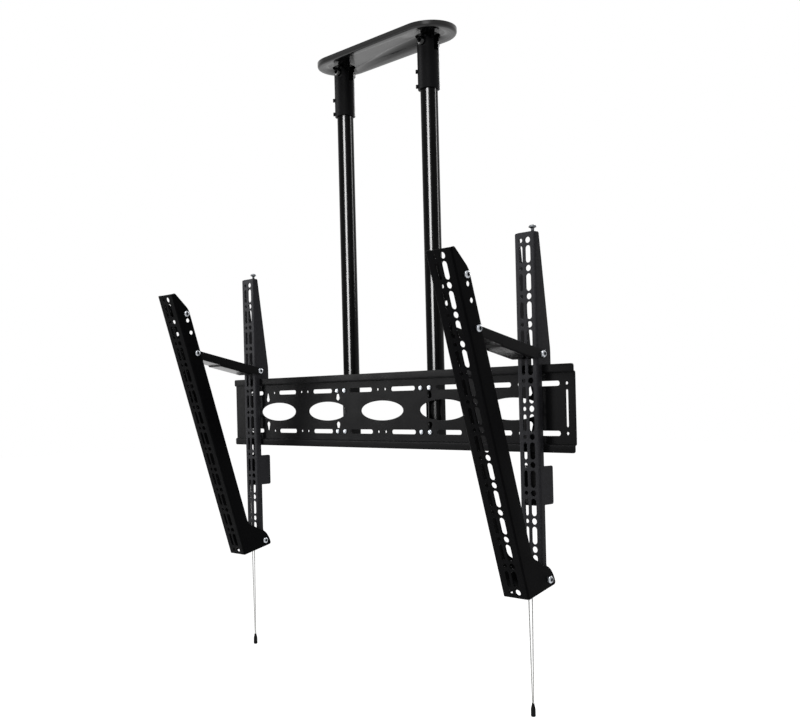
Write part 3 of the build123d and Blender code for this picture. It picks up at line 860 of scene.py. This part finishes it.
# %% Pole feet
foot_sheet = 3
foot_half_width = pole_radius + foot_sheet
foot_bend = bend_outside - foot_sheet / 2
foot_depth, foot_half_height, foot_round = 34, 62, 8
opening_depth, opening_half_height, opening_round = 22, 37, 5
for side, way in sides.items():
    bm = bmesh.new()
    for depth, half_height, rounding in (
        (foot_depth, foot_half_height, foot_round),
        (opening_depth, opening_half_height, opening_round),
    ):
        half_sheet = flat_x(depth, foot_half_width, middle=foot_bend)
        cut_outline(bm, rectangle(half_sheet, half_height, rounding))
    thicken(bm, foot_sheet)
    for wall in (-1, 1):
        fold(bm, 0, wall * (foot_half_width - bend_outside), foot_bend, pi / 2)
    put(bm, way * pole_x, rail_front + sheet + foot_sheet / 2, -rail_drop)
    finish_piece(bm, f"pole_foot_{side}", "channel", powder_coat)

# %% [markdown]
# ## Yokes
#
# A small plate under the ceiling plate carries a thick tongue with a round end, from which the pole hangs.
# Both are flame-cut plate, so they are drawn like the sheet parts and only welded together, not folded.

# %% Yokes
plate_thickness = 3
yoke_sheet, yoke_half_length, yoke_half_width = 4, 19, 15
tongue_half_width, tongue_thickness = 13, 12
yoke_bolt_drop = 25
for side, way in sides.items():
    bm = bmesh.new()
    cut_outline(bm, rectangle(yoke_half_length, yoke_half_width, 3))
    thicken(bm, yoke_sheet, 0.6)
    put(bm, way * pole_x, 0, -plate_thickness - yoke_sheet / 2, y_axis=(0, 1, 0), z_axis=(0, 0, 1))
    finish_piece(bm, f"yoke_{side}", "base", powder_coat)
    bm = bmesh.new()
    tip = -yoke_bolt_drop - tongue_half_width
    cut_outline(
        bm,
        [
            (-tongue_half_width, tip, 12.5),
            (tongue_half_width, tip, 12.5),
            (tongue_half_width, -plate_thickness - 1, 0),
            (-tongue_half_width, -plate_thickness - 1, 0),
        ],
    )
    thicken(bm, tongue_thickness, 0.8)
    put(bm, way * pole_x, 0, 0)
    finish_piece(bm, f"yoke_{side}", "tongue", powder_coat)

# %% [markdown]
# ## Collars
#
# A collar is turned from bar: a sleeve over the pole's top and, above it, a fork that takes the tongue, so
# that the pole hangs plumb under a sloping ceiling. The sleeve is a turned profile. A cheek of the fork is
# a slice of the same bar, cut by planes: one along the slot, two for the sloping shoulders. The flat under
# the bolt's head is milled out by cutting along its two faces, removing the waste and closing the hole.

# %% Collar functions
collar_radius, collar_bottom, collar_top = 22, -119, -14
fork_floor, flat_floor, flat_face = -44, -36, 19
bore = pole_radius + 0.3
roof = 5
round_steps = 96
shoulder_start, shoulder_slope = 12, (13, 10)


def cut_through(bm, point, normal, keep_both=False):
    """Cut a solid along a plane. What lies in front goes, and the cut is closed, unless both sides stay."""
    cut = slice_along(bm, point, normal, clear_outer=not keep_both)
    if not keep_both:
        bmesh.ops.edgenet_fill(bm, edges=[g for g in cut if isinstance(g, bmesh.types.BMEdge)])


def draw_cheek(way):
    """One cheek of the fork, in front of the tongue or behind it."""
    bm = bmesh.new()
    bmesh.ops.create_cone(
        bm,
        segments=round_steps,
        radius1=collar_radius,
        radius2=collar_radius,
        depth=collar_top - fork_floor,
        cap_ends=True,
        matrix=Matrix.Translation((0, 0, (collar_top + fork_floor) / 2)),
    )
    cut_through(bm, (0, way * tongue_thickness / 2, 0), (0, -way, 0))
    for end in (1, -1):
        out, up = shoulder_slope
        cut_through(bm, (end * shoulder_start, 0, collar_top), (end * out, 0, up))
    cut_through(bm, (0, way * flat_face, 0), (0, way, 0), keep_both=True)
    cut_through(bm, (0, 0, flat_floor), (0, 0, 1), keep_both=True)
    centres = {f: f.calc_center_median() for f in bm.faces}
    waste = [f for f, c in centres.items() if c.y * way > flat_face and c.z > flat_floor]
    bmesh.ops.delete(bm, geom=waste, context="FACES")
    on_flat = [v for v in bm.verts if abs(v.co.y * way - flat_face) < 0.01]
    bm.edges.new([v for v in on_flat if abs(v.co.z - flat_floor) < 0.01])
    bmesh.ops.edgenet_fill(bm, edges=[e for e in bm.edges if len(e.link_faces) < 2])
    bmesh.ops.recalc_face_normals(bm, faces=bm.faces[:])
    sharp = [e for e in bm.edges if e.calc_face_angle(0) > 0.5]
    round_off(bm, [e for e in sharp if max(v.co.z for v in e.verts) > fork_floor + 1], 0.6, 2)
    return bm


def copy_to(bm, part, place, axis):
    """Add a copy of a part to a bmesh, at a place, with its top turned towards an axis."""
    shape = bpy.data.meshes.new("copy")
    part.to_mesh(shape)
    turned = Vector(axis).to_track_quat("Z", "Y").to_matrix().to_4x4()
    turned.translation = place
    shape.transform(turned)
    bm.from_mesh(shape)
    bpy.data.meshes.remove(shape)


# %% [markdown]
# The sleeve's profile runs up the bore, over the roof that closes it and down the outside, with its lower
# rim rounded. Two cheeks stand on it.

# %% Collars
sleeve_profile = [
    (bore, collar_bottom + 0.5),
    (bore + 0.5, collar_bottom),
    (collar_radius - 0.7, collar_bottom),
    (collar_radius - 0.2, collar_bottom + 0.2),
    (collar_radius, collar_bottom + 0.7),
    (collar_radius, fork_floor),
    (0, fork_floor),
    (0, fork_floor - roof),
    (bore, fork_floor - roof),
]
for side, way in sides.items():
    bm = bmesh.new()
    turn(bm, sleeve_profile, steps=round_steps, closed=True)
    bmesh.ops.translate(bm, verts=bm.verts[:], vec=(way * pole_x, 0, 0))
    for cheek in (-1, 1):
        copy_to(bm, draw_cheek(cheek), (way * pole_x, 0, 0), (0, 0, 1))
    finish_piece(bm, f"collar_{side}", "fork", powder_coat)

# %% [markdown]
# ## Ceiling plate and cover
#
# The plate that is screwed to the joists is a plain sheet. The cover that hides it is a shallow pressed tray:
# its floor is a filled ring with two openings, and its wall grows from that floor's edge, ring by ring,
# round the corner. A last modifier gives the pressing its 1.5 mm wall.

# %% Ceiling plate
cover_half_width, cover_wall, cover_depth = 58, 1.5, 12
plate_gap = 0.3
ceiling_hole, ceiling_holes_x, ceiling_holes_y = 9, (-65, 65), (-35, 35)
bm = bmesh.new()
inside = cover_half_width - cover_wall - plate_gap
punch(bm, 0, 0, 2 * inside, 2 * (inside + pole_x), axis=0, segments=96)
for x in ceiling_holes_x:
    for y in ceiling_holes_y:
        punch(bm, x, y, ceiling_hole)
thicken(bm, plate_thickness)
put(bm, 0, 0, -plate_thickness / 2, y_axis=(0, 1, 0), z_axis=(0, 0, 1))
finish_piece(bm, "ceiling_plate", "sheet", powder_coat)

# %% [markdown]
# The cover's profile starts at the edge of its floor, goes over a faint pressed bead, then round the corner
# and up to the ceiling. Every ring keeps the shape of the first: two half circles round the poles' axes.

# %% Ceiling cover
cover_round, cover_opening = 5, 50
corner_x = cover_half_width - cover_round
corner_steps = 6
cover_profile = [(44.5, -11.4), (45.6, -11.9), (46.4, -cover_depth), (corner_x, -cover_depth)]
for step in range(1, corner_steps + 1):
    turned = radians(90 * step / corner_steps)
    depth = cover_depth - cover_round + cover_round * cos(turned)
    cover_profile.append((corner_x + cover_round * sin(turned), -depth))
cover_profile += [(cover_half_width, -0.4), (cover_half_width - 0.4, 0)]
first_radius, first_height = cover_profile[0]
past_openings = 40
bm = bmesh.new()
punch(bm, 0, 0, 2 * first_radius, 2 * (first_radius + pole_x), axis=0, segments=128)
for way in (-1, 1):
    punch(bm, way * pole_x, 0, cover_opening, segments=64)
bmesh.ops.triangle_fill(bm, use_beauty=True, use_dissolve=False, edges=bm.edges[:], normal=(0, 0, 1))
bmesh.ops.translate(bm, verts=bm.verts[:], vec=(0, 0, first_height))


def on_outer_ring(edge):
    """Whether an edge lies on the tray's outline and not round a pole's opening."""
    return edge.is_boundary and all(
        hypot(abs(v.co.x) - pole_x, v.co.y) > past_openings or abs(v.co.y) > past_openings
        for v in edge.verts
    )


edges = [e for e in bm.edges if on_outer_ring(e)]
for radius, height in cover_profile[1:]:
    grown = bmesh.ops.extrude_edge_only(bm, edges=edges)["geom"]
    edges = [g for g in grown if isinstance(g, bmesh.types.BMEdge)]
    for vert in (g for g in grown if isinstance(g, bmesh.types.BMVert)):
        centre = Vector((pole_x if vert.co.x > 0 else -pole_x, 0, 0))
        outward = (vert.co - centre) * Vector((1, 1, 0))
        vert.co = centre + outward.normalized() * radius + Vector((0, 0, height))
bmesh.ops.recalc_face_normals(bm, faces=bm.faces[:])
cover = finish_piece(bm, "ceiling_cover", "pressing", gloss_black)
wall = cover.modifiers.new("wall", "SOLIDIFY")
wall.thickness = cover_wall * mm
wall.offset = -1

# %% [markdown]
# ## Bolts and screws
#
# One function draws every fastener, standing on the origin with its head up: a head with 6 or more sides
# whose top edge is rounded, a six-sided socket sunk into it, and a shank below. A large rounding makes the
# dome of a button head. The socket starts as an inset of the top face, and each of its corners is moved out
# to the hexagon of its key. Each kind is drawn once and copied to all its places, which is how fasteners are
# handled in a real assembly too.

# %% Fastener functions
def draw_bolt(head, height, shank, reach, corners=48, key=0, edge=0.7):
    """A fastener whose head is this wide over its corners and whose shank reaches below the seat."""
    bm = bmesh.new()
    bmesh.ops.create_cone(
        bm,
        segments=corners,
        radius1=head / 2,
        radius2=head / 2,
        depth=height,
        cap_ends=True,
        matrix=Matrix.Translation((0, 0, height / 2)),
    )
    top = max(bm.faces, key=lambda f: f.calc_center_median().z)
    round_off(bm, top.edges[:], edge, 4)
    if key:
        top = max(bm.faces, key=lambda f: f.calc_center_median().z)
        bmesh.ops.inset_region(bm, faces=[top], thickness=0.4, use_even_offset=True)
        for vert in top.verts:
            off_flat = atan2(vert.co.y, vert.co.x) % (pi / 3) - pi / 6
            vert.co.xy = vert.co.xy.normalized() * key / 2 / cos(off_flat)
        floor = bmesh.ops.extrude_discrete_faces(bm, faces=[top])["faces"][0]
        bmesh.ops.translate(bm, verts=floor.verts[:], vec=(0, 0, -0.7 * height))
        # The socket's faces take the second material, a darker finish that is painted shade inside the
        # recess.
        for face in {f for e in floor.edges for f in e.link_faces}:
            face.material_index = 1
    if reach:
        bmesh.ops.create_cone(
            bm,
            segments=32,
            radius1=shank / 2,
            radius2=shank / 2,
            depth=reach,
            cap_ends=True,
            matrix=Matrix.Translation((0, 0, -reach / 2)),
        )
    return bm


# %% [markdown]
# The pivots are button-headed socket bolts. Two hold the strut to the arm, two carry the tilting arm at its
# foot, with a spacer washer behind each, and four more stop the strut at the chosen angle.

# %% Pivot and stop bolts
button_head = 13
pivot_bolt, tilt_bolt, stop_bolt = [
    draw_bolt(button_head, 4.8, 8, reach, key=6.4, edge=3) for reach in (5.3, 8.3, 2.5)
]
spacer = draw_bolt(button_head, 3.2, 0, 0, edge=0.3)
running_gap = 0.05
for side in sides:
    strut_set, tilt_set, stop_set = bmesh.new(), bmesh.new(), bmesh.new()
    for way in (-1, 1):
        out = (way, 0, 0)
        for bolts, bolt, half_width, pivot in (
            (strut_set, pivot_bolt, strut_half_width, strut_pivot),
            (tilt_set, tilt_bolt, tilt_half_width, tilt_pivot),
            (tilt_set, spacer, arm_half_width, tilt_pivot),
        ):
            copy_to(bolts, bolt, (arm_x[side] + way * (half_width + running_gap), *pivot), out)
        for height in tilt_bolt_heights:
            copy_to(stop_set, stop_bolt, (arm_x[side] + way * tilt_half_width, *on_tilt_arm(height)), out)
    for bolts, name, body in (
        (strut_set, "strut_bolts", "arm"),
        (tilt_set, "tilt_bolts", "arm"),
        (stop_set, "stop_bolts", "tilting_arm"),
    ):
        # The sockets take the dulled zinc as painted shade.
        finish_piece(bolts, f"{name}_{side}", "set", zinc_plate, f"{body}_{side}", second=dull_zinc_and_socket_shade)

# %% [markdown]
# Four round-headed bolts go through the rail into each pole foot, with nuts behind.

# %% Foot bolts and nuts
foot_bolt = draw_bolt(10, 3.5, 6, 9.5, edge=2.6)
foot_nut = draw_bolt(10, 4, 0, 0, corners=6, edge=0.6)
foot_bolt_offset = 11.4
for side, way in sides.items():
    heads, nuts = bmesh.new(), bmesh.new()
    for x in (-foot_bolt_offset, foot_bolt_offset):
        for z in (-slot_row, slot_row):
            copy_to(heads, foot_bolt, (way * pole_x + x, rail_front, z - rail_drop), (0, -1, 0))
            back = rail_front + sheet + foot_sheet
            copy_to(nuts, foot_nut, (way * pole_x + x, back, z - rail_drop), (0, 1, 0))
    finish_piece(heads, f"foot_bolts_{side}", "set", zinc_plate)
    finish_piece(nuts, f"foot_nuts_{side}", "set", zinc_plate)

# %% [markdown]
# A large black button-headed bolt joins yoke and collar, with a hexagon nut behind, and two screws grip the
# pole through each collar.

# %% Yoke bolts, nuts and collar screws
yoke_bolt = draw_bolt(17.6, 6, 10, 48, key=8, edge=3.6)
yoke_nut = draw_bolt(18.4, 8, 0, 0, corners=6, edge=1.2)
collar_screw = draw_bolt(8, 4, 5, 4, key=4, edge=0.5)
collar_screw_drops = (82, 112)
corner = collar_radius * cos(pi / 4)
for side, way in sides.items():
    bolts, nuts, screws = bmesh.new(), bmesh.new(), bmesh.new()
    copy_to(bolts, yoke_bolt, (way * pole_x, -flat_face, -yoke_bolt_drop), (0, -1, 0))
    copy_to(nuts, yoke_nut, (way * pole_x, flat_face, -yoke_bolt_drop), (0, 1, 0))
    for drop in collar_screw_drops:
        copy_to(screws, collar_screw, (way * pole_x - corner, -corner, -drop), (-1, -1, 0))
    # The socket takes the satin powder coat, darker than the gloss head, as painted shade.
    finish_piece(bolts, f"yoke_bolt_{side}", "button", gloss_black, second=powder_coat)
    finish_piece(nuts, f"yoke_nut_{side}", "hex", gloss_black)
    finish_piece(screws, f"collar_screws_{side}", "set", powder_coat, second=powder_coat)

# %% [markdown]
# ## Level screws
#
# A screw on the top tab trims each arm level. Its head is a flat mushroom for finger and thumb, turned with
# its threaded shank in one profile.

# %% Level screws
screw_top, head_radius = 12, 7
screw_x, screw_y = 11.5, 9.5
screw_profile = [(0, -12), (2.4, -12)]
for step in range(-12, screw_top - 9):
    screw_profile += [(2.65, step + 0.2), (3, step + 0.7)]
screw_profile += [
    (3, screw_top - 7),
    (5.2, screw_top - 5.4),
    (head_radius, screw_top - 4.6),
    (head_radius, screw_top - 3.6),
    (6.3, screw_top - 2.2),
    (4.8, screw_top - 1),
    (2.6, screw_top - 0.2),
    (0, screw_top),
]
for side in sides:
    bm = bmesh.new()
    turn(bm, screw_profile, steps=40)
    place = (arm_x[side] + screw_x, arm_front + screw_y, arm_half_length - rail_drop)
    bmesh.ops.translate(bm, verts=bm.verts[:], vec=place)
    finish_piece(bm, f"level_screw_{side}", "turned", dull_zinc_and_socket_shade, f"arm_{side}")

# %% [markdown]
# ## Latches
#
# Under the rail a spring latch keeps each arm from lifting off. It is a bent plate that slides in a box
# between the flanges, and the cords pull it down by its tab.

# %% Latches and boxes
latch_front, latch_top, latch_half_width = -35.45, -70, 12
pull_tab_half_width, pull_tab_depth = 16.9, 13.55
box_middle, box_height, box_half_depth = -134, 52, 4
guide_half_width, guide_half_depth = 12.1, 1.35
arm_inner = arm_half_width - sheet
latch_fold = latch_bottom + bend_outside
pull_tab_edge = latch_fold - bend_arc - (pull_tab_depth - bend_outside)
latch_right = [
    (pull_tab_half_width, pull_tab_edge, 3),
    (pull_tab_half_width, latch_fold - bend_arc, 1),
    (latch_half_width, latch_fold - 0.2, 0),
    (latch_half_width, latch_top, 4),
]
for side in sides:
    bm = bmesh.new()
    cut_outline(bm, mirrored(latch_right))
    thicken(bm, sheet)
    fold(bm, 1, latch_fold, bend_middle, pi / 2)
    put(bm, arm_x[side], latch_front + sheet / 2, -rail_drop, x_axis=(-1, 0, 0), z_axis=(0, 1, 0))
    finish_piece(bm, f"latch_{side}", "plate", powder_coat, f"latch_{side}")
    bm = bmesh.new()
    cut_outline(bm, rectangle(arm_inner, box_half_depth, 1))
    cut_outline(bm, rectangle(guide_half_width, guide_half_depth, 0))
    thicken(bm, box_height)
    place = (arm_x[side], latch_front + sheet / 2, box_middle - rail_drop)
    put(bm, *place, y_axis=(0, 1, 0), z_axis=(0, 0, 1))
    finish_piece(bm, f"latch_box_{side}", "guide", black_plastic, f"arm_{side}")

# %% [markdown]
# ## Studio
#
# The photograph has a plain white ground. The floor and the sky show white to the camera and in reflections,
# but light the mount only gently, so that black stays black.

# %% Floor and sky
floor_half_size, floor_height = 30, -2.4
floor_glow, sky_light = 0.92, 0.15


def seen_directly(tree):
    """1 for what the camera, a mirror or clear glass sees, and 0 for what only lights the mount."""
    path = add_node(tree, "ShaderNodeLightPath", {})
    seen = path.outputs["Is Camera Ray"]
    for kind in ("Is Glossy Ray", "Is Transmission Ray"):
        either = add_node(tree, "ShaderNodeMath", {0: seen, 1: path.outputs[kind]}, operation="MAXIMUM")
        seen = either.outputs["Value"]
    return seen


floor_mesh = bpy.data.meshes.new("floor")
bm = bmesh.new()
bmesh.ops.create_grid(bm, x_segments=1, y_segments=1, size=floor_half_size)
bmesh.ops.translate(bm, verts=bm.verts[:], vec=(0, 0, floor_height))
bm.to_mesh(floor_mesh)
bm.free()
floor = bpy.data.objects.new("floor", floor_mesh)
scene.collection.objects.link(floor)
paper, tree, place = new_material("white paper floor")
fibre = add_node(tree, "ShaderNodeTexNoise", {"Vector": place, "Scale": per_size(40), "Detail": 3})
tint = add_node(tree, "ShaderNodeValToRGB", {"Fac": fibre.outputs["Fac"]})
tint.color_ramp.elements[0].color = linear("#ececec")
tint.color_ramp.elements[1].color = linear("#f4f4f4")
matt_paper = add_node(tree, "ShaderNodeBsdfDiffuse", {"Color": tint.outputs["Color"]})
glow = add_node(tree, "ShaderNodeEmission", {"Color": (1, 1, 1, 1), "Strength": floor_glow})
lifted = add_node(tree, "ShaderNodeAddShader", {0: matt_paper.outputs["BSDF"], 1: glow.outputs["Emission"]})
mixed = add_node(
    tree,
    "ShaderNodeMixShader",
    {0: seen_directly(tree), 1: matt_paper.outputs["BSDF"], 2: lifted.outputs["Shader"]},
)
add_node(tree, "ShaderNodeOutputMaterial", {"Surface": mixed.outputs["Shader"]})
floor_mesh.materials.append(paper)

sky = bpy.data.worlds.new("studio")
scene.world = sky
sky.use_nodes = True
tree = sky.node_tree
tree.nodes.clear()
strength = add_node(
    tree,
    "ShaderNodeMapRange",
    {"Value": seen_directly(tree), "From Min": 0, "From Max": 1, "To Min": sky_light, "To Max": 1.0},
)
white_light = {"Color": (1, 1, 1, 1), "Strength": strength.outputs["Result"]}
white = add_node(tree, "ShaderNodeBackground", white_light)
add_node(tree, "ShaderNodeOutputWorld", {"Surface": white.outputs["Background"]})

# %% [markdown]
# Four soft lamps light the mount at a plain level. The left one is where flat faces mirror it to the camera,
# so it lays a sheen on the powder coat, and one behind does the same for the back. Two tall soft boxes draw
# the streaks down the poles. Light linking keeps those two on the poles, where they show only in the mirror,
# and the left and back lamps off the poles and the cover. Each lamp has a place, a target, a size, a power
# and, where it is linked, what it lights.

# %% Lamps
streaked = bpy.data.collections.new("streaked gloss")
unlit = bpy.data.collections.new("gloss without sheen")
for piece in poles:
    streaked.objects.link(piece)
for piece in poles + [cover]:
    unlit.objects.link(piece)
for linked in unlit.collection_objects:
    linked.light_linking.link_state = "EXCLUDE"
lamps = {
    "key": ((2.2, -3.0, 1.2), (0, 0, -0.7), (1.6, 1.6), 28, None),
    "left": ((-2.5, -2.4, 0.1), (0, 0, -0.7), (0.9, 1.6), 80, unlit),
    "top": ((0.3, -1.4, 2.6), (0, 0, -0.7), (2.4, 1.2), 110, None),
    "back": ((-1.0, 3.0, 0.4), (0, 0, -0.7), (1.6, 1.6), 90, unlit),
    "front soft box": ((0.93, -2.5, 0.15), (0, 0, 0.15), (1.1, 1.6), 1050, streaked),
    "side soft box": ((2.0, 1.75, 0.6), (0, 0, -0.3), (0.5, 1.6), 110, streaked),
}
for name, (place, target, size, power, receivers) in lamps.items():
    light = bpy.data.lights.new(name, "AREA")
    light.shape = "RECTANGLE"
    light.size, light.size_y = size
    light.energy = power
    lamp = bpy.data.objects.new(name, light)
    lamp.location = place
    lamp.rotation_euler = (Vector(target) - Vector(place)).to_track_quat("-Z", "Y").to_euler()
    if receivers:
        lamp.light_linking.receiver_collection = receivers
    lamp.visible_diffuse = receivers != streaked
    scene.collection.objects.link(lamp)
scene.view_settings.view_transform = "Standard"
print(f"{len(lamps)} lamps, two of them for the poles alone")
